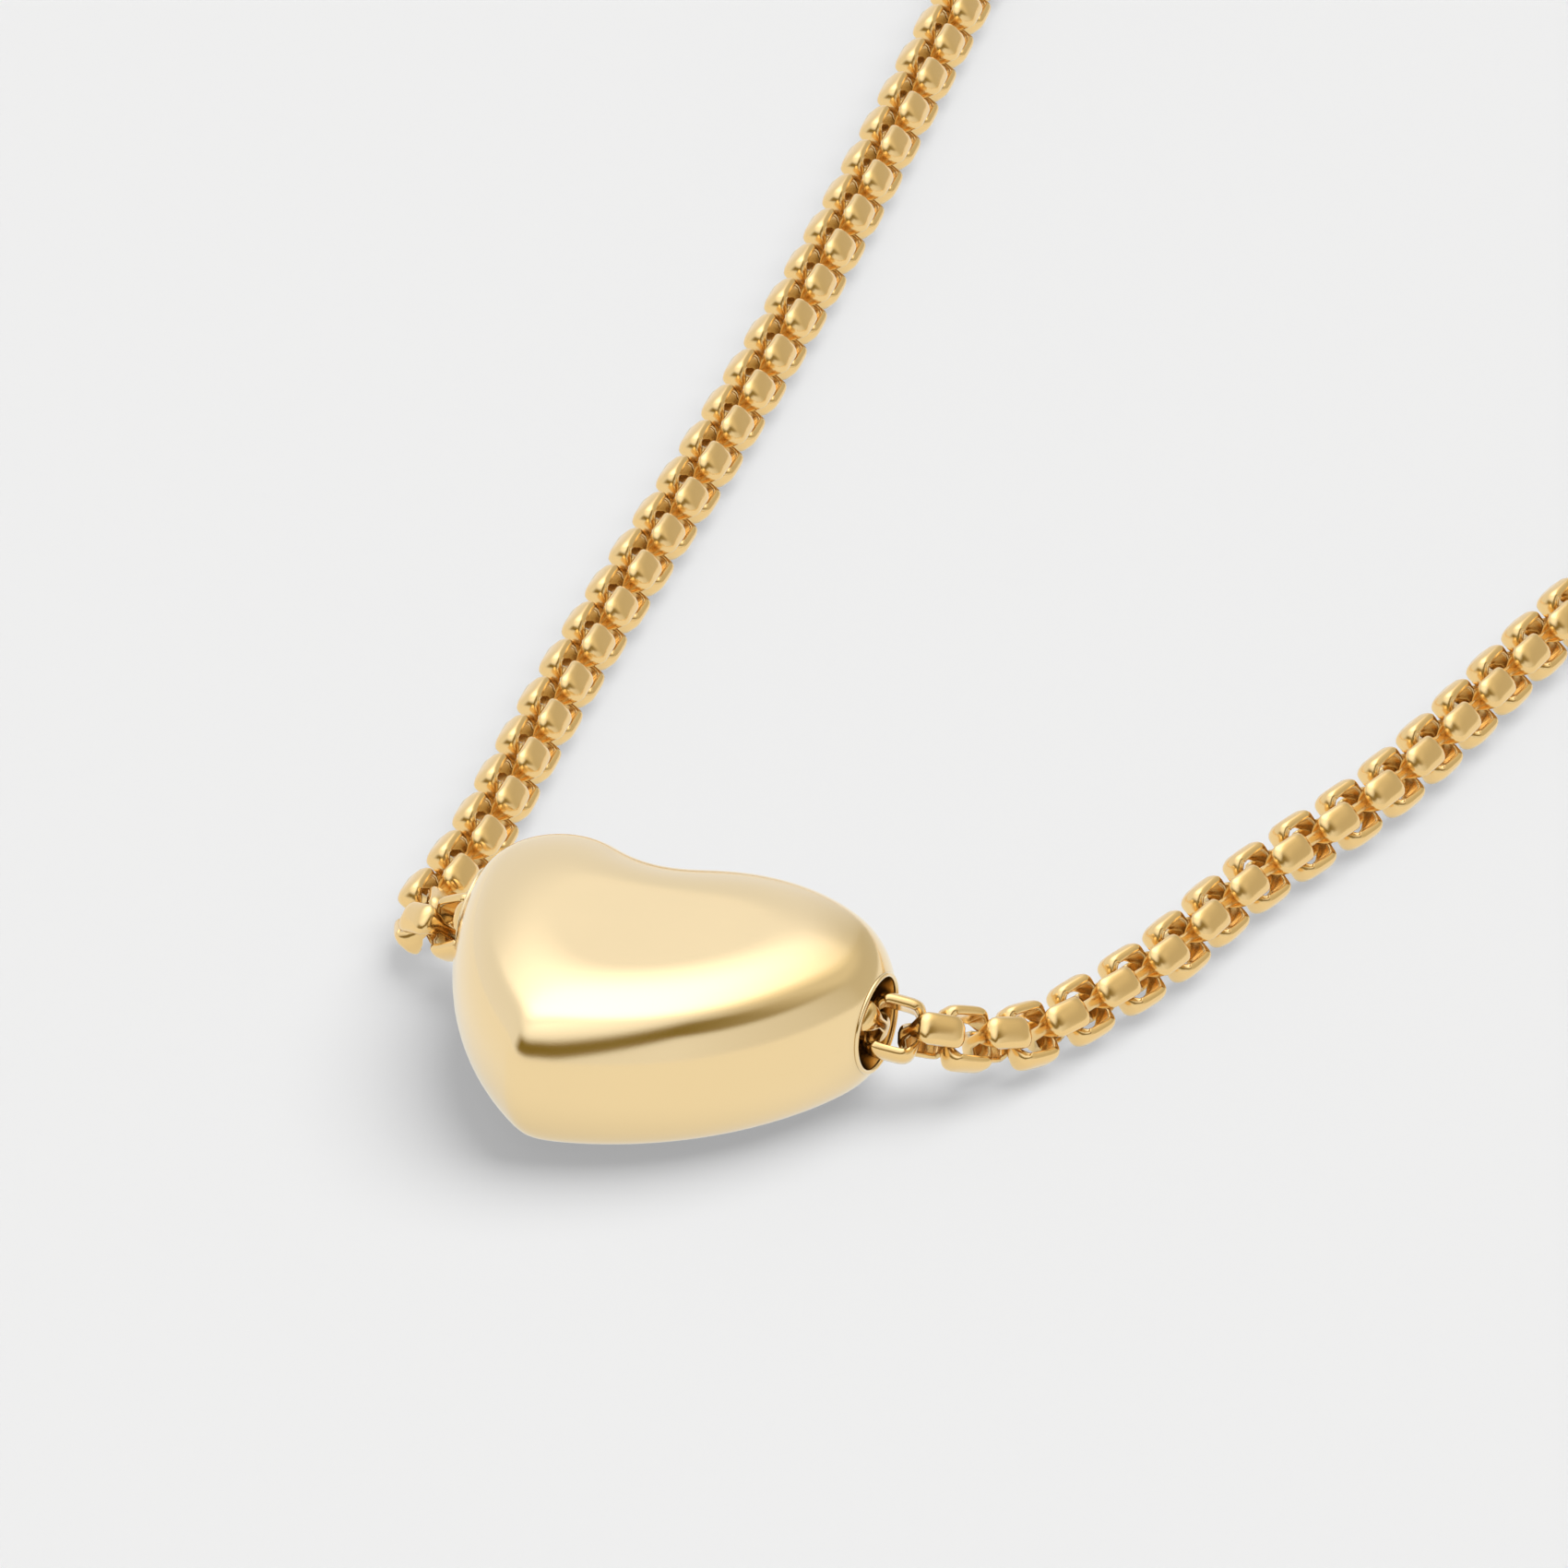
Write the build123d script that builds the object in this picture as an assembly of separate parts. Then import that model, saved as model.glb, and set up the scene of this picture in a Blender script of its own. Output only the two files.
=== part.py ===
from build123d import *
import math
import os

# Puffed heart slider on a round box chain, closed by a clasp, in millimetres
# The bore runs along X, the cleft faces +Y and everything rests on Z = 0

# Heart
HEART_THICKNESS = 7.9
RIGHT_LOBE_RADIUS = 4.9
RIGHT_LOBE_X = 5.7
RIGHT_LOBE_Y = 2.35
RIGHT_TOP_RADIUS = 9.1
RIGHT_TOP_TURN = 58
LEFT_LOBE_RADIUS = 4.2
LEFT_LOBE_X = -5.8
LEFT_LOBE_Y = 3.2
RIGHT_SIDE_RADIUS = 16.3
LEFT_SIDE_RADIUS = 17.3
POINT_RADIUS = 1.7
POINT_X = -1.65
POINT_Y = -9.25
CLEFT_RADIUS = 3.5
# Wall and shoulder rise to one height within one reach of the rim, and the crown rises on from there
SHOULDER_RISE = 2.6
SHOULDER_REACH = 1.65
SHOULDER_POWER = 2.3
CROWN_REACH = 4.1
SHARPEST_POINT = 0.4
# Insets of the sections from the rim in, as shares of the crown's reach
SECTION_INSETS = [0, 0.02, 0.07, 0.16, 0.32, 0.56, 0.84]
BORE_DIAMETER = 4.1
BORE_Y = 2.45
MOUTH_FLARE = 0.2
# How deep the flare at each mouth reaches, in times its width
FLARE_DEPTH = 6

# Chain link
CHAIN_WIDTH = 3.0
LINK_LENGTH = 2.52
STRIP_WIDTH = 1.44
SIDE_WALL = 0.5
END_WALL = 0.22
END_STRIP = 0.44
STRIP_CORNER = 0.35
CORNER_RADIUS = 0.8
CROWN_RADIUS = 1.6

# Spacing of the links, taut in the heart and up to a reach from its middle on either side
LOOSE_PITCH = 1.69
TAUT_PITCH = 1.84
TAUT_LEFT = 7.4
TAUT_RIGHT = 9.2

# Roll of each strand about its route, in degrees: distance from the heart's middle, roll
LEFT_ROLLS = [(0, 45), (120, 45), (190, 0)]
RIGHT_ROLLS = [(0, -45), (120, -45), (190, 0)]

# Clasp
CLASP_LENGTH = 14.0
CLASP_WIDTH = 5.6
CLASP_THICKNESS = 3.0
EYE_THICKNESS = 1.3
EYE_WALL = 0.9
EYE_SIZE = 2.6
LINK_CLEARANCE = 0.25

BORE_HEIGHT = HEART_THICKNESS / 2
LIE = CROWN_RADIUS
CLASP_PLACE = (-2.0, 173.5, LIE)
# The last link hangs on the outer wall of the clasp's eye
END_REACH = CLASP_LENGTH / 2 - EYE_WALL - LINK_CLEARANCE - END_WALL + LINK_LENGTH / 2

# Route of each strand to the clasp: straight in the bore up to its end, then points in order from the heart
LEFT_BORE_END = 6.6
LEFT_ROUTE = [
    (-8.6, 2.5, LIE + 2.25),
    (-10.1, 2.6, LIE + 1.75),
    (-11.5, 2.95, LIE + 0.95),
    (-12.74, 3.8, LIE + 0.35),
    (-13.42, 5.15, LIE + 0.06),
    (-13.65, 6.9, LIE),
    (-13.9, 10.2, LIE),
    (-14.8, 16.0, LIE),
    (-16.9, 28.9, LIE),
    (-19.1, 45.9, LIE),
    (-21.8, 63.4, LIE),
    (-25.0, 81.3, LIE),
    (-28.6, 100.0, LIE),
    (-31.6, 115.0, LIE),
    (-33.2, 130.0, LIE),
    (-32.4, 145.0, LIE),
    (-28.4, 158.0, LIE),
    (-20.5, 168.2, LIE),
    (CLASP_PLACE[0] - END_REACH, CLASP_PLACE[1], LIE),
]
RIGHT_BORE_END = 9.0
RIGHT_ROUTE = [
    (11.7, 3.0, LIE + 1.95),
    (13.4, 4.7, LIE + 1.1),
    (14.8, 6.7, LIE + 0.35),
    (15.7, 8.7, LIE + 0.05),
    (16.5, 11.2, LIE),
    (17.5, 14.5, LIE),
    (18.6, 22.3, LIE),
    (20.7, 31.5, LIE),
    (22.0, 43.4, LIE),
    (23.2, 56.0, LIE),
    (25.2, 72.0, LIE),
    (27.6, 90.0, LIE),
    (29.8, 110.0, LIE),
    (30.3, 128.0, LIE),
    (28.4, 144.5, LIE),
    (23.8, 158.0, LIE),
    (15.8, 168.2, LIE),
    (CLASP_PLACE[0] + END_REACH, CLASP_PLACE[1], LIE),
]


def direction(start, end):
    """Unit vector from one point to another."""
    return (end - start).normalized()


def circle_crossing(first, first_radius, second, second_radius, side):
    """Point where two circles cross, on the left (+1) or right (-1) of first to second."""
    span = (second - first).length
    along = (first_radius ** 2 - second_radius ** 2 + span ** 2) / (2 * span)
    across = math.sqrt(first_radius ** 2 - along ** 2)
    axis = direction(first, second)
    left = Vector(-axis.Y, axis.X)
    return first + axis * along + left * (across * side)


def arc(centre, radius, start_direction, end_direction, turn):
    """Arc about a centre between two directions, turning +1 anticlockwise or -1 clockwise."""
    start = math.atan2(start_direction.Y, start_direction.X)
    end = math.atan2(end_direction.Y, end_direction.X)
    sweep_angle = ((end - start) * turn) % (2 * math.pi) * turn
    spots = []
    for share in (0, 0.5, 1):
        angle = start + sweep_angle * share
        spots.append(centre + Vector(math.cos(angle), math.sin(angle)) * radius)
    return ThreePointArc(*spots)


def heart_outline(inset, height):
    """The heart's outline drawn in by an inset, as seven tangent arcs at one height."""
    right_lobe = Vector(RIGHT_LOBE_X, RIGHT_LOBE_Y)
    left_lobe = Vector(LEFT_LOBE_X, LEFT_LOBE_Y)
    full_point = Vector(POINT_X, POINT_Y + POINT_RADIUS)
    turn = math.radians(RIGHT_TOP_TURN)
    top_way = Vector(math.cos(turn), math.sin(turn))
    right_top = right_lobe - top_way * (RIGHT_TOP_RADIUS - RIGHT_LOBE_RADIUS)
    right_side = circle_crossing(
        right_lobe, RIGHT_SIDE_RADIUS - RIGHT_LOBE_RADIUS,
        full_point, RIGHT_SIDE_RADIUS - POINT_RADIUS, -1)
    left_side = circle_crossing(
        left_lobe, LEFT_SIDE_RADIUS - LEFT_LOBE_RADIUS,
        full_point, LEFT_SIDE_RADIUS - POINT_RADIUS, 1)
    cleft = circle_crossing(
        left_lobe, LEFT_LOBE_RADIUS + CLEFT_RADIUS,
        right_top, RIGHT_TOP_RADIUS + CLEFT_RADIUS, 1)
    point_radius = max(POINT_RADIUS - inset, SHARPEST_POINT)
    right_radius = RIGHT_SIDE_RADIUS - inset
    left_radius = LEFT_SIDE_RADIUS - inset
    point = circle_crossing(
        right_side, right_radius - point_radius, left_side, left_radius - point_radius, -1)
    to_right_top = direction(cleft, right_top)
    to_left_lobe = direction(cleft, left_lobe)
    right_end = direction(right_side, right_lobe)
    left_end = direction(left_side, left_lobe)
    edges = [
        arc(cleft, CLEFT_RADIUS + inset, to_left_lobe, to_right_top, 1),
        arc(right_top, RIGHT_TOP_RADIUS - inset, -to_right_top, top_way, -1),
        arc(right_lobe, RIGHT_LOBE_RADIUS - inset, top_way, right_end, -1),
        arc(right_side, right_radius, right_end, direction(right_side, point), -1),
        arc(point, point_radius, direction(right_side, point), direction(left_side, point), -1),
        arc(left_side, left_radius, direction(left_side, point), left_end, -1),
        arc(left_lobe, LEFT_LOBE_RADIUS - inset, left_end, -to_left_lobe, -1),
    ]
    return Wire(edges).moved(Location((0, 0, height)))


def puff(inset):
    """Height of the heart's front above mid-thickness at an inset from the rim, before it is scaled."""
    wall = max(1 - inset / SHOULDER_REACH, 0)
    shoulder = SHOULDER_RISE * (1 - wall ** SHOULDER_POWER) ** (1 / SHOULDER_POWER)
    crown_rise = HEART_THICKNESS / 2 - SHOULDER_RISE
    return shoulder + crown_rise * (1 - (1 - inset / CROWN_REACH) ** 2)


def heart():
    """Puffed heart: sections drawn in towards its front and back, with the bore through both lobes."""
    insets = [share * CROWN_REACH for share in SECTION_INSETS]
    half = HEART_THICKNESS / 2
    rises = [half * puff(inset) / puff(insets[-1]) for inset in insets]
    sections = []
    for inset, rise in reversed(list(zip(insets, rises))):
        sections.append(heart_outline(inset, half - rise))
    for inset, rise in list(zip(insets, rises))[1:]:
        sections.append(heart_outline(inset, half + rise))
    body = Solid.make_loft(sections)
    right_end = RIGHT_LOBE_X + RIGHT_LOBE_RADIUS
    left_end = LEFT_LOBE_X - LEFT_LOBE_RADIUS
    bore = Cylinder(BORE_DIAMETER / 2, 2 * (right_end - left_end), rotation=(0, 90, 0))
    flare_length = FLARE_DEPTH * MOUTH_FLARE
    mouth_radius = BORE_DIAMETER / 2 + MOUTH_FLARE
    right_flare = Cone(BORE_DIAMETER / 2, mouth_radius, flare_length, rotation=(0, 90, 0))
    left_flare = Cone(BORE_DIAMETER / 2, mouth_radius, flare_length, rotation=(0, -90, 0))
    cut = bore + Pos(right_end - flare_length / 2, 0, 0) * right_flare
    cut += Pos(left_end + flare_length / 2, 0, 0) * left_flare
    return body - Pos(0, BORE_Y, BORE_HEIGHT) * cut


def link():
    """One link: a rounded ring, its two broad sides joined by narrow ends, long side along X."""
    outer = RectangleRounded(LINK_LENGTH, CHAIN_WIDTH, CORNER_RADIUS)
    hole = RectangleRounded(
        LINK_LENGTH - 2 * END_WALL, CHAIN_WIDTH - 2 * SIDE_WALL, CORNER_RADIUS - END_WALL)
    ring = extrude(outer - hole, STRIP_WIDTH / 2, both=True)
    half_width = CHAIN_WIDTH / 2
    hole_edge = half_width - SIDE_WALL
    flare = hole_edge - (STRIP_WIDTH - END_STRIP) / 2
    right_edge = [
        (half_width, STRIP_WIDTH / 2), (hole_edge, STRIP_WIDTH / 2), (flare, END_STRIP / 2),
        (-flare, END_STRIP / 2), (-hole_edge, STRIP_WIDTH / 2), (-half_width, STRIP_WIDTH / 2)]
    left_edge = [(across, -depth) for across, depth in reversed(right_edge)]
    waist = make_face(Polyline(*right_edge, *left_edge, close=True))
    waist_bar = extrude(Plane.YZ * waist, LINK_LENGTH / 2, both=True)
    strip = RectangleRounded(LINK_LENGTH, STRIP_WIDTH, STRIP_CORNER)
    strip_bar = extrude(Plane.XZ * strip, half_width, both=True)
    crown = Cylinder(CROWN_RADIUS, LINK_LENGTH, rotation=(0, 90, 0))
    return ring & waist_bar & strip_bar & crown


def link_frame(spot, along, roll):
    """Place and turning of a link on the route, rolled about the route's direction."""
    side = Vector(0, 0, 1).cross(along).normalized()
    up = along.cross(side)
    angle = math.radians(roll)
    return Plane(spot, x_dir=along, z_dir=up * math.cos(angle) + side * math.sin(angle)).location


def roll_at(rolls, distance):
    """Roll of the chain about its route, read from a table of rolls."""
    for near, far in zip(rolls, rolls[1:]):
        if distance <= far[0]:
            share = (distance - near[0]) / (far[0] - near[0])
            return near[1] + (far[1] - near[1]) * share
    return rolls[-1][1]


def strand_frames(outward, bore_length, route, taut_reach, first, rolls):
    """Frames of the links on one side of the heart's middle, from it out to the clasp."""
    middle = Vector(0, BORE_Y, BORE_HEIGHT)
    start = middle + outward * bore_length
    path = Spline(start, *route, tangents=[outward, -outward], tangent_scalars=[1, 1])
    total = bore_length + path.length
    taut_count = round(taut_reach / TAUT_PITCH)
    taut_length = taut_count * TAUT_PITCH
    # The last link has an odd count, so that it stands upright in the clasp's eye
    odd_start = 1 - taut_count % 2
    loose_pairs = round(((total - taut_length) / LOOSE_PITCH - odd_start) / 2)
    loose_count = 2 * loose_pairs + odd_start
    loose_pitch = (total - taut_length) / loose_count
    frames = []
    for count in range(first, taut_count + loose_count + 1):
        distance = count * TAUT_PITCH
        if count > taut_count:
            distance = taut_length + (count - taut_count) * loose_pitch
        spot = middle + outward * distance
        along = outward
        if distance > bore_length:
            spot = path.position_at(distance - bore_length, position_mode=PositionMode.LENGTH)
            along = path.tangent_at(distance - bore_length, position_mode=PositionMode.LENGTH)
        roll = roll_at(rolls, distance) + 90 * (count % 2)
        frames.append(link_frame(spot, along, roll))
    print("links", len(frames), "loose pitch", round(loose_pitch, 3), "length", round(total, 1))
    return frames


def chain_strand(frames):
    """All links of one strand, each a loose solid."""
    one = link()
    return Compound(children=[one.moved(frame) for frame in frames])


def clasp():
    """Plain oval clasp with an eye at each end."""
    eye_offset = CLASP_LENGTH / 2 - EYE_WALL - EYE_SIZE / 2
    outline = SlotOverall(CLASP_LENGTH, EYE_SIZE + 2 * EYE_WALL) + Ellipse(eye_offset, CLASP_WIDTH / 2)
    eyes = Locations((-eye_offset, 0), (eye_offset, 0))
    plate = extrude(outline, EYE_THICKNESS / 2, both=True)
    boss_length = 2 * (eye_offset - EYE_SIZE / 2 - EYE_WALL)
    boss = extrude(Ellipse(boss_length / 2, CLASP_WIDTH / 2 - EYE_WALL / 2), CLASP_THICKNESS / 2, both=True)
    body = plate + boss
    for spot in eyes:
        body -= spot * Cylinder(EYE_SIZE / 2, CLASP_THICKNESS)
    return Pos(*CLASP_PLACE) * body


if __name__ == "__main__":
    os.makedirs("parts", exist_ok=True)
    left = strand_frames(Vector(-1, 0, 0), LEFT_BORE_END, LEFT_ROUTE, TAUT_LEFT, 1, LEFT_ROLLS)
    right = strand_frames(Vector(1, 0, 0), RIGHT_BORE_END, RIGHT_ROUTE, TAUT_RIGHT, 0, RIGHT_ROLLS)
    export_step(heart(), "parts/heart.step")
    export_step(chain_strand(left), "parts/chain_left.step")
    export_step(chain_strand(right), "parts/chain_right.step")
    export_step(clasp(), "parts/clasp.step")
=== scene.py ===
import bpy
import math
import numpy as np
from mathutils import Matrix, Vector


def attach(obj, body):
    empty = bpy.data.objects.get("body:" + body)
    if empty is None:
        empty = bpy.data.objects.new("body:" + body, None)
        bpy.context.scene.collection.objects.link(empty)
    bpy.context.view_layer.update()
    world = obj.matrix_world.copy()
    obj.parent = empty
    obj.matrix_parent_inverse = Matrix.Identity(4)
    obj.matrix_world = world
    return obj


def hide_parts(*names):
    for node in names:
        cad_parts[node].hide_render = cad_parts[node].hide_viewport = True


# Heart pendant on a round box chain, dressed for the photograph's view

MM = 0.001

# Camera, in millimetres and degrees
CAMERA_PLACE = (269.7, -551.3, 403.0)
CAMERA_TILT = 57.7
CAMERA_HEADING = 25.5
CAMERA_LENS = 381.0
SENSOR_WIDTH = 36.0

# Heart, in millimetres, as in the solid
HEART_THICKNESS = 7.9
RIGHT_LOBE = (5.7, 2.35)
RIGHT_LOBE_RADIUS = 4.9
RIGHT_TOP_RADIUS = 9.1
RIGHT_TOP_TURN = 58
LEFT_LOBE = (-5.8, 3.2)
LEFT_LOBE_RADIUS = 4.2
RIGHT_SIDE_RADIUS = 16.3
LEFT_SIDE_RADIUS = 17.3
POINT_RADIUS = 1.7
POINT = (-1.65, -7.55)
CLEFT_RADIUS = 3.5
OUTLINE_SPACING = 0.012
BORE_RADIUS = 2.05
BORE_Y = 2.45
MOUTH_FLARE = 0.25
FLARE_LENGTH = 1.2
LIP_RADIUS = 0.11
# The shoulder rises by one height within one reach of the rim, and the crown rises on from there
SHOULDER_RISE = 2.6
SHOULDER_REACH = 1.65
SHOULDER_POWER = 2.3
CROWN_REACH = 4.1
# How firmly the distance from the rim follows the nearest side, and where the rings of the front meet
BLEND_POWER = 4
HEART_MIDDLE = (0.2, -0.6)
# Bore cutter: its ends, where the rays towards the skin start, and the first guess of the skin's place
CUTTER_END = 14
RAY_START = 20
SKIN_GUESS = 10
SETTLING_ROUNDS = 6

# Chain link, in millimetres
LINK_LENGTH = 2.52
CHAIN_WIDTH = 3.0
STRIP_WIDTH = 1.44
SIDE_WALL = 0.5
END_WALL = 0.22
END_STRIP = 0.44
# How square the link's arch is, and how square its broad sides are seen from outside
ARCH_POWER = 4.0
PLAN_POWER = 7.0
STRIP_CROWN = 0.16
# How far from the link's long axis the strip starts and ends getting broader, and thicker
BROADENING = (0.3, 0.8)
THICKENING = (0.4, 1.3)
# How round the strip's section is on its faces and on its edges
FACE_ROUNDNESS = 0.45
EDGE_ROUNDNESS = 0.6

# Gold: colours, roughness, and the clear coat over the chain and the clasp
HEART_GOLD = (1.0, 0.78, 0.44)
CHAIN_GOLD = (1.0, 0.71, 0.32)
HEART_ROUGHNESS = 0.15
CHAIN_ROUGHNESS = 0.18
CHAIN_COAT = 0.6
# Clouding: share of the colour at its darkest, and shares of the roughness at its ends
CLOUD_SHARE = 0.965
GLOSS_SHARES = (0.85, 1.15)
# Scratches: length against width, fineness against the clouding, and depth in metres
SCRATCH_STRETCH = 14.0
SCRATCH_FINENESS = 6
SCRATCH_STRENGTH = 0.06
SCRATCH_DEPTH = 0.00002
# Painted shade in gaps: reach in millimetres, the open shares between which the gold is darkened, and the
# share of its colour left
GAP_REACH = 0.7
GAP_OPENNESS = (0.25, 0.85)
GAP_SHADE_SHARE = 0.35

# Floor, in millimetres, and its grey
FLOOR_SIZE = 3000.0
FLOOR_GREY = 0.8

# Lamps: direction, width in degrees, brightness, and the key's share for which the chain casts a shadow too
KEY_DIRECTION = (230, 300, 700)
KEY_WIDTH = 55
KEY_BRIGHTNESS = 1.8
CHAIN_SHADOW_SHARE = 0.45
FILL_BRIGHTNESS = 1.5

# Dark room: its colour, how much higher it stands from left to right, and its share left at the right
ROOM_DARK = (0.2, 0.14, 0.02)
ROOM_RISE = 0.46
RISE_RANGE = (-0.3, 0.3)
ROOM_RIGHT_SHARE = 0.5
RIGHT_RANGE = (0.3, 0.9)
# How far a direction points to the camera's side where the room starts and is whole
NEAR_RANGE = (0.05, 0.45)
# Surroundings on the camera's side and on the far side: height of the direction, colour
NEAR_STOPS = [
    (0.0, (0.82, 0.82, 0.82)),
    (0.1, ROOM_DARK),
    (0.32, ROOM_DARK),
    (0.5, (0.9, 0.9, 0.9)),
    (0.8, (1.3, 1.3, 1.3)),
]
FAR_STOPS = [
    (0.0, (0.82, 0.82, 0.82)),
    (0.45, (0.79, 0.79, 0.79)),
    (0.55, (0.86, 0.86, 0.86)),
    (0.66, (1.0, 1.0, 1.0)),
]
# Dimming of the far side towards the right: how far right the direction points, share left
RIGHT_STOPS = [
    (0.1, (1.0, 1.0, 1.0)),
    (0.4, (0.7, 0.64, 0.5)),
]
# Soft glow of the big lamp overhead, as mirrored in the heart: closeness to its middle, share
GLOW_RISE = 72
GLOW_HEADING = 198
GLOW_STOPS = [
    (0.75, (0.0, 0.0, 0.0)),
    (0.87, (0.4, 0.4, 0.4)),
    (0.95, (0.85, 0.85, 0.85)),
    (1.0, (1.0, 1.0, 1.0)),
]
GLOW_BRIGHTNESS = 1.1
# Share of the surroundings that lights matt surfaces
MATT_SHARE = 0.08
# Painted reflection of the floor in the gold: the colour that the floor glows with for mirrored rays, and its
# share against the lit floor
PAINTED_FLOOR_REFLECTION = (0.88, 0.84, 0.74)
PAINTED_REFLECTION_SHARE = 0.7


def vector(x, y):
    """A flat point as an array."""
    return np.array([x, y], dtype=float)


def circle_crossing(first, first_radius, second, second_radius, side):
    """Point where two circles cross, on the left (+1) or right (-1) of first to second."""
    span = np.linalg.norm(second - first)
    along = (first_radius ** 2 - second_radius ** 2 + span ** 2) / (2 * span)
    across = math.sqrt(first_radius ** 2 - along ** 2)
    axis = (second - first) / span
    left = vector(-axis[1], axis[0])
    return first + axis * along + left * across * side


def angle_of(start, end):
    """Direction from one point to another as an angle."""
    return math.atan2(end[1] - start[1], end[0] - start[0])


def heart_outline(spacing):
    """Even points round the heart's rim, clockwise from the cleft, and the length that each stands for."""
    right_lobe = vector(*RIGHT_LOBE)
    left_lobe = vector(*LEFT_LOBE)
    point = vector(*POINT)
    top_turn = math.radians(RIGHT_TOP_TURN)
    top_way = vector(math.cos(top_turn), math.sin(top_turn))
    right_top = right_lobe - top_way * (RIGHT_TOP_RADIUS - RIGHT_LOBE_RADIUS)
    right_side = circle_crossing(
        right_lobe, RIGHT_SIDE_RADIUS - RIGHT_LOBE_RADIUS, point, RIGHT_SIDE_RADIUS - POINT_RADIUS, -1)
    left_side = circle_crossing(
        left_lobe, LEFT_SIDE_RADIUS - LEFT_LOBE_RADIUS, point, LEFT_SIDE_RADIUS - POINT_RADIUS, 1)
    cleft = circle_crossing(
        left_lobe, LEFT_LOBE_RADIUS + CLEFT_RADIUS, right_top, RIGHT_TOP_RADIUS + CLEFT_RADIUS, 1)
    # Columns: centre, radius, start angle, end angle, turn
    arcs = [
        (cleft, CLEFT_RADIUS, angle_of(cleft, left_lobe), angle_of(cleft, right_top), 1),
        (right_top, RIGHT_TOP_RADIUS, angle_of(right_top, cleft), top_turn, -1),
        (right_lobe, RIGHT_LOBE_RADIUS, top_turn, angle_of(right_side, right_lobe), -1),
        (right_side, RIGHT_SIDE_RADIUS, angle_of(right_side, right_lobe), angle_of(right_side, point), -1),
        (point, POINT_RADIUS, angle_of(right_side, point), angle_of(left_side, point), -1),
        (left_side, LEFT_SIDE_RADIUS, angle_of(left_side, point), angle_of(left_side, left_lobe), -1),
        (left_lobe, LEFT_LOBE_RADIUS, angle_of(left_side, left_lobe), angle_of(left_lobe, cleft), -1),
    ]
    points = []
    lengths = []
    for centre, radius, start, end, turn in arcs:
        sweep = ((end - start) * turn) % (2 * math.pi)
        count = max(2, round(sweep * radius / spacing))
        angles = start + turn * sweep * (np.arange(count) + 0.5) / count
        points.append(centre + radius * np.stack([np.cos(angles), np.sin(angles)], axis=1))
        lengths.append(np.full(count, sweep * radius / count))
    return np.concatenate(points), np.concatenate(lengths)


def rim_distance(spots, rim, lengths):
    """Smooth distance from the rim: exact near it, and rounded off where the sides meet inside."""
    straight_rim = math.sqrt(math.pi) * math.gamma((BLEND_POWER - 1) / 2) / math.gamma(BLEND_POWER / 2)
    distances = np.empty(len(spots))
    for start in range(0, len(spots), 2000):
        part = spots[start:start + 2000]
        squared = ((part[:, None, :] - rim[None, :, :]) ** 2).sum(axis=2)
        total = (lengths / squared ** (BLEND_POWER / 2)).sum(axis=1)
        distances[start:start + 2000] = (straight_rim / total) ** (1 / (BLEND_POWER - 1))
    return distances


def puff_height(distance):
    """Height of the heart's front above mid-thickness at a distance in from the rim."""
    wall = np.clip(1 - distance / SHOULDER_REACH, 0, 1)
    shoulder = SHOULDER_RISE * (1 - wall ** SHOULDER_POWER) ** (1 / SHOULDER_POWER)
    crown = np.clip(1 - distance / CROWN_REACH, 0, 1)
    return shoulder + (HEART_THICKNESS / 2 - SHOULDER_RISE) * (1 - crown ** 2)


def mesh_object(name, points, faces):
    """A smooth mesh object from points in millimetres and its faces."""
    mesh = bpy.data.meshes.new(name)
    mesh.from_pydata((np.asarray(points) * MM).tolist(), [], faces)
    mesh.validate()
    mesh.shade_smooth()
    thing = bpy.data.objects.new(name, mesh)
    bpy.context.scene.collection.objects.link(thing)
    return thing


def ring_faces(ring, next_ring, closed=True):
    """Quads between two rings of point numbers."""
    count = len(ring)
    steps = range(count if closed else count - 1)
    return [(ring[i], ring[(i + 1) % count], next_ring[(i + 1) % count], next_ring[i]) for i in steps]


def ray_step(ring_distance, along, steps):
    """How far in along a ray the distance from the rim reaches a ring's."""
    rising = np.argmax(along) + 1
    distances = np.concatenate([[0], along[:rising]])
    return np.interp(ring_distance, distances, np.concatenate([[0], steps[:rising]]))


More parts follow.
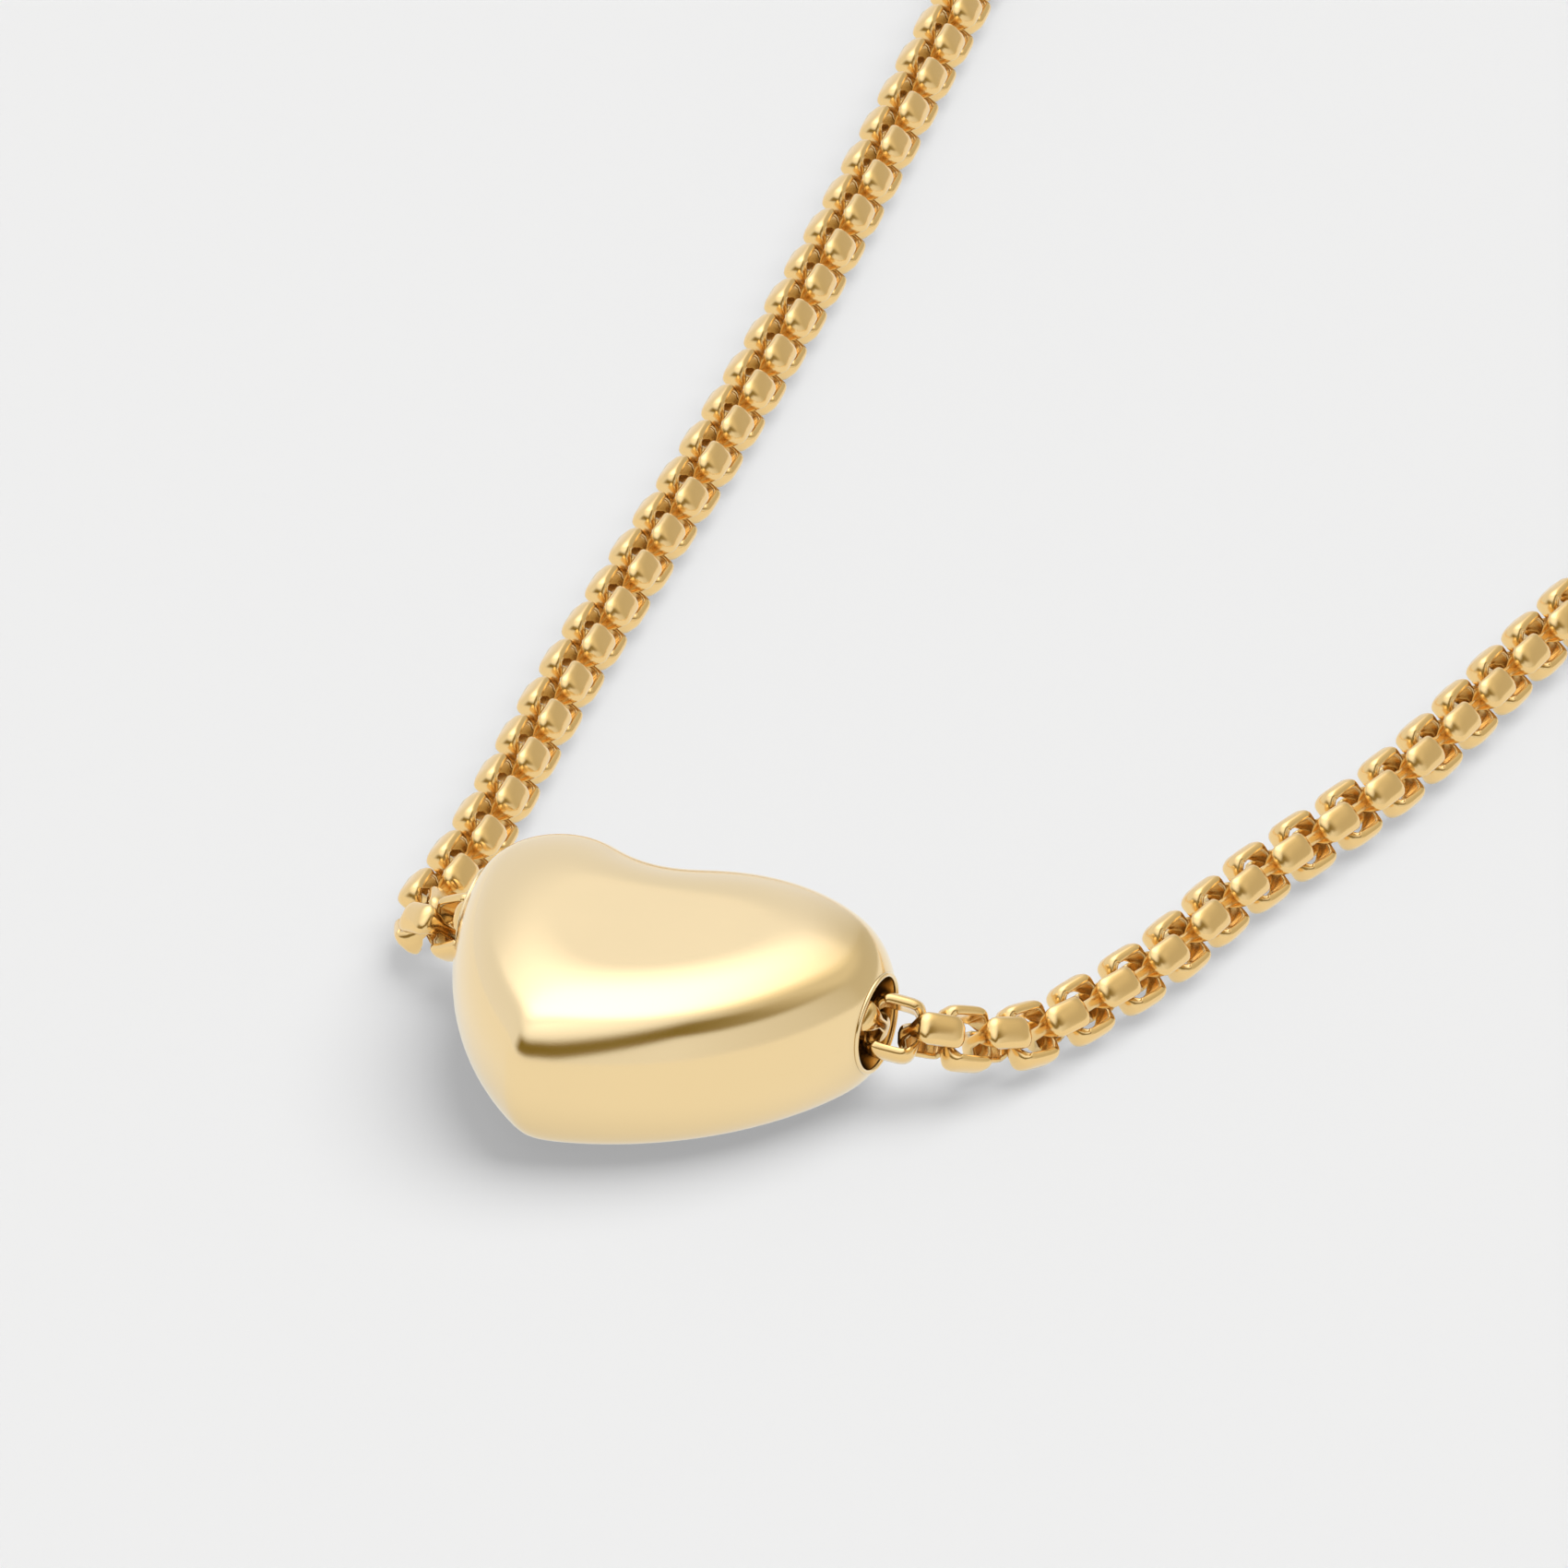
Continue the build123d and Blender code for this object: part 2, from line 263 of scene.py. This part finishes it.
def heart_grid(around=300, wall_rings=44, top_rings=26):
    """Points of the heart's front as rings from the rim in to its middle, with their heights."""
    rim, lengths = heart_outline(OUTLINE_SPACING)
    middle = vector(*HEART_MIDDLE)
    # The rim runs clockwise, so it is turned round for growing angles
    rim_angles = np.unwrap(np.arctan2(rim[:, 1] - middle[1], rim[:, 0] - middle[0]))[::-1]
    rim_radii = np.linalg.norm(rim - middle, axis=1)[::-1]
    angles = rim_angles[0] + 2 * math.pi * np.arange(around) / around
    radii = np.interp(angles, rim_angles, rim_radii, period=2 * math.pi)
    ways = np.stack([np.cos(angles), np.sin(angles)], axis=1)
    # Distances in from the rim at which the rings of the wall and shoulder run, evenly along the profile
    trial = np.concatenate([[0], np.geomspace(1e-4, SHOULDER_REACH * 1.1, 4000)])
    heights = puff_height(trial)
    run = np.concatenate([[0], np.cumsum(np.hypot(np.diff(trial), np.diff(heights)))])
    wall_distances = np.interp(np.linspace(0, run[-1], wall_rings), run, trial)
    # Smooth distance along each ray, from which each ring's place on the ray is read
    shares = np.geomspace(5e-4, 0.9, 70)
    steps = radii[:, None] * shares[None, :]
    spots = middle + ways[:, None, :] * (radii[:, None] - steps)[:, :, None]
    along = rim_distance(spots.reshape(-1, 2), rim, lengths).reshape(around, -1)
    rings = []
    for ring_distance in wall_distances:
        if ring_distance == 0:
            inward = np.zeros(around)
        else:
            inward = np.array([ray_step(ring_distance, along[i], steps[i]) for i in range(around)])
        rings.append(middle + ways * (radii - inward)[:, None])
    last = np.linalg.norm(rings[-1] - middle, axis=1)
    for share in np.linspace(1, 0, top_rings + 1)[1:-1]:
        rings.append(middle + ways * (last * share)[:, None])
    flat = np.array(rings)
    depth = rim_distance(flat[1:].reshape(-1, 2), rim, lengths).reshape(len(rings) - 1, around)
    height = np.concatenate([np.zeros((1, around)), puff_height(depth)])
    peak = puff_height(rim_distance(middle[None, :], rim, lengths))[0]
    scale = HEART_THICKNESS / 2 / max(height.max(), peak)
    return flat, height * scale, middle, peak * scale


def heart_mesh():
    """The puffed heart, before its bore is cut."""
    flat, height, middle, peak = heart_grid()
    count_rings, around, _ = flat.shape
    centre = HEART_THICKNESS / 2
    points = []
    front = []
    back = []
    for ring in range(count_rings):
        front.append(list(range(len(points), len(points) + around)))
        points += [(x, y, centre + h) for (x, y), h in zip(flat[ring], height[ring])]
        if ring == 0:
            back.append(front[0])
        else:
            back.append(list(range(len(points), len(points) + around)))
            points += [(x, y, centre - h) for (x, y), h in zip(flat[ring], height[ring])]
    points.append((middle[0], middle[1], centre + peak))
    points.append((middle[0], middle[1], centre - peak))
    faces = []
    for ring in range(count_rings - 1):
        faces += ring_faces(front[ring], front[ring + 1])
        faces += [face[::-1] for face in ring_faces(back[ring], back[ring + 1])]
    top = len(points) - 2
    for i in range(around):
        faces.append((front[-1][i], front[-1][(i + 1) % around], top))
        faces.append((back[-1][(i + 1) % around], back[-1][i], top + 1))
    return mesh_object("heart_body", points, faces)


def tube(name, path, radius, sides=10):
    """A closed ring of round wire along a closed path, in millimetres."""
    count = len(path)
    points = []
    for i in range(count):
        along = path[(i + 1) % count] - path[i - 1]
        along /= np.linalg.norm(along)
        side = np.cross(along, (1.0, 0.0, 0.0))
        side /= np.linalg.norm(side)
        up = np.cross(along, side)
        for k in range(sides):
            angle = 2 * math.pi * k / sides
            points.append(path[i] + radius * (math.cos(angle) * side + math.sin(angle) * up))
    rings = [list(range(i * sides, (i + 1) * sides)) for i in range(count)]
    faces = []
    for i in range(count):
        faces += ring_faces(rings[i], rings[(i + 1) % count])
    return mesh_object(name, points, faces)


def bore_radius(x):
    """Radius of the bore, which flares a little towards each mouth."""
    end = RIGHT_LOBE[0] + RIGHT_LOBE_RADIUS if x > 0 else LEFT_LOBE_RADIUS - LEFT_LOBE[0]
    share = min(max((abs(x) - end + FLARE_LENGTH) / FLARE_LENGTH, 0), 1)
    return BORE_RADIUS + MOUTH_FLARE * share


def bore_spot(x, angle, radius):
    """A point at a radius from the bore's axis, in millimetres."""
    return (x, BORE_Y + radius * math.cos(angle), HEART_THICKNESS / 2 + radius * math.sin(angle))


def drill(heart):
    """Cuts the bore, and returns the line along which it meets the heart's skin at each end."""
    bpy.context.view_layer.update()
    sides = 120
    angles = [2 * math.pi * k / sides for k in range(sides)]
    mouths = []
    for outward in (1, -1):
        line = []
        for angle in angles:
            x = SKIN_GUESS * outward
            # The flare's radius and the place where it meets the skin settle together
            for _ in range(SETTLING_ROUNDS):
                start = Vector(bore_spot(RAY_START * outward, angle, bore_radius(x))) * MM
                hit, spot, _, _ = heart.ray_cast(start, Vector((-outward, 0, 0)))
                x = spot[0] / MM
            line.append(np.array(spot) / MM)
        mouths.append(line)
    points = []
    rings = []
    right_end = RIGHT_LOBE[0] + RIGHT_LOBE_RADIUS
    left_end = LEFT_LOBE[0] - LEFT_LOBE_RADIUS
    for x in (-CUTTER_END, left_end, left_end + FLARE_LENGTH, right_end - FLARE_LENGTH, right_end, CUTTER_END):
        rings.append(list(range(len(points), len(points) + sides)))
        points += [bore_spot(x, angle, bore_radius(x)) for angle in angles]
    faces = [tuple(rings[0]), tuple(rings[-1][::-1])]
    for near, far in zip(rings, rings[1:]):
        faces += ring_faces(near, far)
    cutter = mesh_object("cutter", points, faces)
    cut = heart.modifiers.new("bore", "BOOLEAN")
    cut.operation = "DIFFERENCE"
    cut.solver = "EXACT"
    cut.object = cutter
    bpy.context.view_layer.update()
    shaped = bpy.data.meshes.new_from_object(heart.evaluated_get(bpy.context.evaluated_depsgraph_get()))
    heart.modifiers.clear()
    heart.data = shaped
    shaped.shade_smooth()
    shaped.set_sharp_from_angle(angle=math.radians(35))
    bpy.data.objects.remove(cutter)
    return mouths


def smooth_step(value, low, high):
    """0 below low, 1 above high and a soft rise between."""
    share = np.clip((value - low) / (high - low), 0, 1)
    return share * share * (3 - 2 * share)


def signed_power(value, power):
    """A value raised to a power with its sign kept."""
    return math.copysign(abs(value) ** power, value)


def link_mesh(around=48, across=16):
    """One link as rings of points across its strip: arched broad sides and narrow ends."""
    half_length = LINK_LENGTH / 2
    half_width = CHAIN_WIDTH / 2
    points = []
    for i in range(around):
        angle = 2 * math.pi * (i + 0.5) / around
        outer = vector(
            half_length * signed_power(math.cos(angle), 2 / ARCH_POWER),
            half_width * signed_power(math.sin(angle), 2 / ARCH_POWER))
        outward = vector(
            signed_power(outer[0] / half_length, ARCH_POWER - 1) / half_length,
            signed_power(outer[1] / half_width, ARCH_POWER - 1) / half_width)
        outward /= np.linalg.norm(outward)
        broad = smooth_step(abs(outer[1]), *BROADENING)
        thick = END_WALL + (SIDE_WALL - END_WALL) * smooth_step(abs(outer[1]), *THICKENING)
        wide = END_STRIP + (STRIP_WIDTH - END_STRIP) * broad
        # Rounded ends of the broad sides, seen from outside
        plan = (1 - min(abs(outer[0]) / half_length, 1) ** PLAN_POWER) ** (1 / PLAN_POWER)
        wide = max(min(wide, STRIP_WIDTH * plan), END_STRIP)
        for k in range(across):
            turn = 2 * math.pi * (k + 0.5) / across
            lean = signed_power(math.cos(turn), FACE_ROUNDNESS)
            spread = signed_power(math.sin(turn), EDGE_ROUNDNESS)
            crown = STRIP_CROWN * spread * spread * broad
            spot = outer + outward * (thick / 2 * (lean - 1) - crown)
            points.append((spot[0], spot[1], wide / 2 * spread))
    rings = [list(range(i * across, (i + 1) * across)) for i in range(around)]
    faces = []
    for i in range(around):
        faces += ring_faces(rings[i], rings[(i + 1) % around])
    return np.array(points), faces


def link_frames(node):
    """Middle and axes of each link of a chain node, read from its separate solids, in millimetres."""
    mesh = node.data
    mesh.calc_loop_triangles()
    corners = np.empty(len(mesh.vertices) * 3)
    mesh.vertices.foreach_get("co", corners)
    corners = corners.reshape(-1, 3) / MM
    triangles = np.empty(len(mesh.loop_triangles) * 3, dtype=np.int64)
    mesh.loop_triangles.foreach_get("vertices", triangles)
    keys = np.round(corners / 0.001).astype(np.int64)
    _, first, welded = np.unique(keys, axis=0, return_index=True, return_inverse=True)
    spots = corners[first]
    triangles = welded.reshape(-1)[triangles].reshape(-1, 3)
    labels = np.arange(len(spots))
    while True:
        lowest = labels[triangles].min(axis=1)
        spread = labels.copy()
        np.minimum.at(spread, triangles.reshape(-1), np.repeat(lowest, 3))
        spread = spread[spread]
        if (spread == labels).all():
            break
        labels = spread
    owners = labels[triangles[:, 0]]
    frames = []
    for owner in np.unique(owners):
        corner = spots[triangles[owners == owner]]
        area = np.linalg.norm(np.cross(corner[:, 1] - corner[:, 0], corner[:, 2] - corner[:, 0]), axis=1)
        middles = corner.mean(axis=1)
        middle = (middles * area[:, None]).sum(axis=0) / area.sum()
        away = middles - middle
        moments = (away * area[:, None]).T @ away
        _, axes = np.linalg.eigh(moments)
        wide = axes[:, 2]
        long = axes[:, 1]
        frames.append((middle, np.stack([long, wide, np.cross(long, wide)])))
    return frames


def chain_mesh(name, node, seed):
    """All links of a strand as one mesh, each with a small difference in tone."""
    points, faces = link_mesh()
    frames = link_frames(node)
    all_points = []
    all_faces = []
    for middle, axes in frames:
        start = len(all_points) * len(points)
        all_points.append(points @ axes + middle)
        all_faces += [tuple(corner + start for corner in face) for face in faces]
    chain = mesh_object(name, np.concatenate(all_points), all_faces)
    tones = np.repeat(np.random.default_rng(seed).random(len(frames)), len(points))
    attribute = chain.data.attributes.new("tone", "FLOAT", "POINT")
    attribute.data.foreach_set("value", tones.astype(np.float32))
    return chain


def gold(name, colour, roughness, coat, scale, tone=False):
    """Polished gold plate with faint clouding, hair-fine scratches, softly worn gloss and painted shade in
    gaps and hollows.
    """
    material = bpy.data.materials.new(name)
    material.use_nodes = True
    nodes = material.node_tree.nodes
    links = material.node_tree.links
    shader = nodes["Principled BSDF"]
    shader.inputs["Metallic"].default_value = 1.0
    shader.inputs["Coat Weight"].default_value = coat
    shader.inputs["Coat Roughness"].default_value = roughness
    place = nodes.new("ShaderNodeTexCoord")
    cloud = nodes.new("ShaderNodeTexNoise")
    cloud.inputs["Scale"].default_value = scale
    cloud.inputs["Detail"].default_value = 3.0
    links.new(place.outputs["Object"], cloud.inputs["Vector"])
    tint = nodes.new("ShaderNodeMix")
    tint.data_type = "RGBA"
    tint.inputs["A"].default_value = (*[channel * CLOUD_SHARE for channel in colour], 1)
    tint.inputs["B"].default_value = (*colour, 1)
    factor = cloud.outputs["Fac"]
    if tone:
        attribute = nodes.new("ShaderNodeAttribute")
        attribute.attribute_name = "tone"
        factor = product_node(material.node_tree, cloud.outputs["Fac"], attribute.outputs["Fac"])
    links.new(factor, tint.inputs["Factor"])
    # Painted shade: the gold's colour is darkened where little light reaches, such as between links
    gap = nodes.new("ShaderNodeAmbientOcclusion")
    gap.inputs["Distance"].default_value = GAP_REACH * MM
    gap.samples = 4
    depth = map_node(material.node_tree, gap.outputs["AO"], GAP_OPENNESS, (GAP_SHADE_SHARE, 1))
    shade = nodes.new("ShaderNodeVectorMath")
    shade.operation = "SCALE"
    links.new(tint.outputs["Result"], shade.inputs[0])
    links.new(depth, shade.inputs["Scale"])
    links.new(shade.outputs["Vector"], shader.inputs["Base Color"])
    ends = [roughness * share for share in GLOSS_SHARES]
    links.new(map_node(material.node_tree, cloud.outputs["Fac"], (0, 1), ends), shader.inputs["Roughness"])
    stretch = nodes.new("ShaderNodeMapping")
    stretch.inputs["Scale"].default_value = (1.0, SCRATCH_STRETCH, SCRATCH_STRETCH)
    links.new(place.outputs["Object"], stretch.inputs["Vector"])
    scratches = nodes.new("ShaderNodeTexNoise")
    scratches.inputs["Scale"].default_value = scale * SCRATCH_FINENESS
    scratches.inputs["Detail"].default_value = 5.0
    links.new(stretch.outputs["Vector"], scratches.inputs["Vector"])
    bump = nodes.new("ShaderNodeBump")
    bump.inputs["Strength"].default_value = SCRATCH_STRENGTH
    bump.inputs["Distance"].default_value = SCRATCH_DEPTH
    links.new(scratches.outputs["Fac"], bump.inputs["Height"])
    links.new(bump.outputs["Normal"], shader.inputs["Normal"])
    return material


def dress(thing, material):
    """Gives a piece its material and its body."""
    thing.data.materials.clear()
    thing.data.materials.append(material)
    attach(thing, "root")


def floor_plane():
    """The plain pale surface that the necklace lies on."""
    size = FLOOR_SIZE
    corners = [(-size, -size, 0), (size, -size, 0), (size, size, 0), (-size, size, 0)]
    floor = mesh_object("floor", corners, [(0, 1, 2, 3)])
    material = bpy.data.materials.new("pale_card_with_painted_reflection")
    material.use_nodes = True
    shader = material.node_tree.nodes["Principled BSDF"]
    shader.inputs["Base Color"].default_value = (FLOOR_GREY, FLOOR_GREY, FLOOR_GREY, 1)
    shader.inputs["Roughness"].default_value = 0.9
    shader.inputs["Specular IOR Level"].default_value = 0.0
    # Painted reflection: for rays mirrored in the gold the floor glows with its own light, so what the gold
    # mirrors of the floor has less shadow on it
    tree = material.node_tree
    glow = tree.nodes.new("ShaderNodeEmission")
    glow.inputs["Color"].default_value = (*PAINTED_FLOOR_REFLECTION, 1)
    path = tree.nodes.new("ShaderNodeLightPath")
    share = map_node(tree, path.outputs["Is Glossy Ray"], (0, 1), (0, PAINTED_REFLECTION_SHARE))
    blend = tree.nodes.new("ShaderNodeMixShader")
    tree.links.new(share, blend.inputs["Fac"])
    tree.links.new(shader.outputs["BSDF"], blend.inputs[1])
    tree.links.new(glow.outputs["Emission"], blend.inputs[2])
    tree.links.new(blend.outputs["Shader"], tree.nodes["Material Output"].inputs["Surface"])
    floor.data.materials.append(material)


def lamp(name, direction, width, brightness, shadows=True, blockers=None):
    """A broad even light from a direction, as wide as an angle in degrees, that the gold doesn't mirror.

    Where blockers are given, only they cast its shadow.
    """
    data = bpy.data.lights.new(name, "SUN")
    data.angle = math.radians(width)
    data.energy = brightness
    data.use_shadow = shadows
    light = bpy.data.objects.new(name, data)
    light.rotation_euler = (-Vector(direction)).to_track_quat("-Z", "Y").to_euler()
    light.visible_glossy = False
    bpy.context.scene.collection.objects.link(light)
    if blockers:
        casting = bpy.data.collections.new(name + "_blockers")
        for thing in blockers:
            casting.objects.link(thing)
        light.light_linking.blocker_collection = casting


def ramp_node(tree, height, stops):
    """Colours of the surroundings against the height of the direction."""
    ramp = tree.nodes.new("ShaderNodeValToRGB")
    elements = ramp.color_ramp.elements
    while len(elements) < len(stops):
        elements.new(0.5)
    for element, (place, colour) in zip(elements, stops):
        element.position = place
        element.color = (*colour, 1)
    tree.links.new(height, ramp.inputs["Fac"])
    return ramp.outputs["Color"]


def dot_node(tree, direction, axis):
    """How far a direction points along an axis."""
    product = tree.nodes.new("ShaderNodeVectorMath")
    product.operation = "DOT_PRODUCT"
    product.inputs[1].default_value = axis
    tree.links.new(direction, product.inputs[0])
    return product.outputs["Value"]


def map_node(tree, value, source, target):
    """A value carried from one range to another, and held at its ends."""
    mapped = tree.nodes.new("ShaderNodeMapRange")
    mapped.inputs["From Min"].default_value, mapped.inputs["From Max"].default_value = source
    mapped.inputs["To Min"].default_value, mapped.inputs["To Max"].default_value = target
    tree.links.new(value, mapped.inputs["Value"])
    return mapped.outputs["Result"]


def product_node(tree, first, second):
    """Two values multiplied."""
    product = tree.nodes.new("ShaderNodeMath")
    product.operation = "MULTIPLY"
    tree.links.new(first, product.inputs[0])
    tree.links.new(second, product.inputs[1])
    return product.outputs["Value"]


def studio():
    """Pale surroundings with a soft glow overhead, and a warm dark room low down on the camera's side."""
    world = bpy.data.worlds.new("studio")
    bpy.context.scene.world = world
    world.use_nodes = True
    tree = world.node_tree
    background = tree.nodes["Background"]
    place = tree.nodes.new("ShaderNodeTexCoord")
    direction = place.outputs["Generated"]
    heading = math.radians(CAMERA_HEADING)
    toward = dot_node(tree, direction, (math.sin(heading), -math.cos(heading), 0))
    rightward = dot_node(tree, direction, (math.cos(heading), math.sin(heading), 0))
    split = tree.nodes.new("ShaderNodeSeparateXYZ")
    tree.links.new(direction, split.inputs[0])
    lowered = tree.nodes.new("ShaderNodeMath")
    lowered.operation = "ADD"
    tree.links.new(split.outputs["Z"], lowered.inputs[0])
    tree.links.new(map_node(tree, rightward, RISE_RANGE, (0, -ROOM_RISE)), lowered.inputs[1])
    near = ramp_node(tree, lowered.outputs["Value"], NEAR_STOPS)
    far = ramp_node(tree, split.outputs["Z"], FAR_STOPS)
    nearness = map_node(tree, toward, NEAR_RANGE, (0, 1))
    side = product_node(tree, nearness, map_node(tree, rightward, RIGHT_RANGE, (1, ROOM_RIGHT_SHARE)))
    rise = math.radians(GLOW_RISE)
    turn = math.radians(GLOW_HEADING + CAMERA_HEADING)
    closeness = dot_node(tree, direction, (
        math.cos(rise) * math.sin(turn), -math.cos(rise) * math.cos(turn), math.sin(rise)))
    glow = tree.nodes.new("ShaderNodeVectorMath")
    glow.operation = "MULTIPLY_ADD"
    tree.links.new(ramp_node(tree, closeness, GLOW_STOPS), glow.inputs[0])
    glow.inputs[1].default_value = (GLOW_BRIGHTNESS, GLOW_BRIGHTNESS, GLOW_BRIGHTNESS)
    tree.links.new(far, glow.inputs[2])
    dimmed = tree.nodes.new("ShaderNodeVectorMath")
    dimmed.operation = "MULTIPLY"
    tree.links.new(glow.outputs["Vector"], dimmed.inputs[0])
    tree.links.new(ramp_node(tree, rightward, RIGHT_STOPS), dimmed.inputs[1])
    blend = tree.nodes.new("ShaderNodeMix")
    blend.data_type = "RGBA"
    tree.links.new(side, blend.inputs["Factor"])
    tree.links.new(dimmed.outputs["Vector"], blend.inputs["A"])
    tree.links.new(near, blend.inputs["B"])
    tree.links.new(blend.outputs["Result"], background.inputs["Color"])
    # Matt surfaces get less of the surroundings than polished ones mirror, and more of the lamps
    path = tree.nodes.new("ShaderNodeLightPath")
    matt = map_node(tree, path.outputs["Is Diffuse Ray"], (0, 1), (1, MATT_SHARE))
    tree.links.new(matt, background.inputs["Strength"])


def camera():
    """The photograph's camera."""
    data = bpy.data.cameras.new("camera")
    data.lens = CAMERA_LENS
    data.sensor_width = SENSOR_WIDTH
    data.clip_start = 0.01
    data.clip_end = 20.0
    thing = bpy.data.objects.new("camera", data)
    thing.location = Vector(CAMERA_PLACE) * MM
    thing.rotation_euler = (math.radians(CAMERA_TILT), 0, math.radians(CAMERA_HEADING))
    bpy.context.scene.collection.objects.link(thing)
    bpy.context.scene.camera = thing


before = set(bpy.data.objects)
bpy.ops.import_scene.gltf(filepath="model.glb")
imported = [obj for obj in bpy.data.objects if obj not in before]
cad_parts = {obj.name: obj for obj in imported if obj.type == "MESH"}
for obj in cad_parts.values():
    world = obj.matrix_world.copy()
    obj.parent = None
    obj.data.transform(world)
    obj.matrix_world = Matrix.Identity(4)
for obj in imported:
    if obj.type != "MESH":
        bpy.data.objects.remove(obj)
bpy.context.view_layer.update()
camera()
floor_plane()
studio()
heart_gold = gold("heart_gold", HEART_GOLD, HEART_ROUGHNESS, 1.0, 180.0)
chain_gold = gold("chain_gold", CHAIN_GOLD, CHAIN_ROUGHNESS, CHAIN_COAT, 500.0, tone=True)
clasp_gold = gold("clasp_gold", CHAIN_GOLD, CHAIN_ROUGHNESS, CHAIN_COAT, 400.0)

heart = heart_mesh()
mouths = drill(heart)
dress(heart, heart_gold)
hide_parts("heart")
for number, mouth in enumerate(mouths):
    lip = tube("bore_lip_" + ("right", "left")[number], mouth, LIP_RADIUS)
    dress(lip, heart_gold)
for name, seed in (("left", 3), ("right", 8)):
    node = "chain_" + name
    strand = chain_mesh("links_" + name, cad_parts[node], seed)
    dress(strand, chain_gold)
    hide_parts(node)
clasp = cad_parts["clasp"]
clasp.data.materials.clear()
clasp.data.materials.append(clasp_gold)

lamp("key", KEY_DIRECTION, KEY_WIDTH, KEY_BRIGHTNESS * CHAIN_SHADOW_SHARE)
lamp("heart_key", KEY_DIRECTION, KEY_WIDTH, KEY_BRIGHTNESS * (1 - CHAIN_SHADOW_SHARE), blockers=[heart])
lamp("fill", (0, 0, 1), 10, FILL_BRIGHTNESS, shadows=False)

scene = bpy.context.scene
scene.view_settings.view_transform = "Standard"
scene.cycles.caustics_reflective = False
